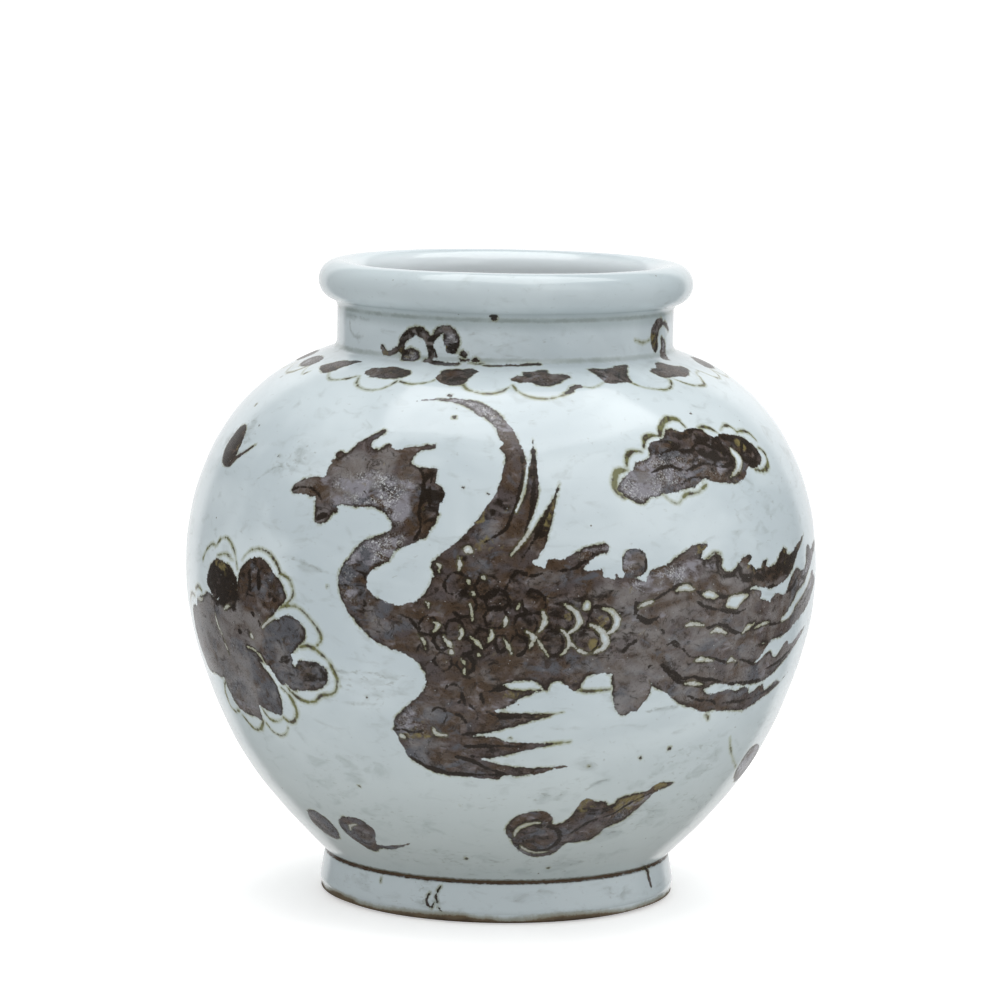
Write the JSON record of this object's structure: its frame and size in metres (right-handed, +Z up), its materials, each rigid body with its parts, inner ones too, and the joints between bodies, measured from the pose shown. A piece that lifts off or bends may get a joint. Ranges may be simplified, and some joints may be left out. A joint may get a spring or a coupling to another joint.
{
  "type": "martaban jar",
  "caption": "Globular glazed stoneware storage jar on a low foot ring, with a short straight neck and a thick rolled rim.",
  "frame": {"origin": "middle of the underside of the foot ring, on the jar's axis", "axes": "+Z up along the jar's axis of turning; -Y is the side that the painted bird's picture shows"},
  "size_m": [0.327, 0.327, 0.33],
  "materials": {
    "bare_stoneware": "unglazed, brown-fired stoneware",
    "stoneware_body": "fired clay under the glaze",
    "pale_glaze": "glossy pale blue-grey glaze",
    "inside_glaze": "glossy pale grey glaze"
  },
  "bodies": {
    "root": {"foot_ring": "bare_stoneware", "lower_bowl": "stoneware_body", "upper_bowl": "stoneware_body", "neck_collar": "stoneware_body", "rim_roll": "stoneware_body", "outer_glaze": "pale_glaze", "inner_glaze": "inside_glaze"}
  },
  "joints": []
}
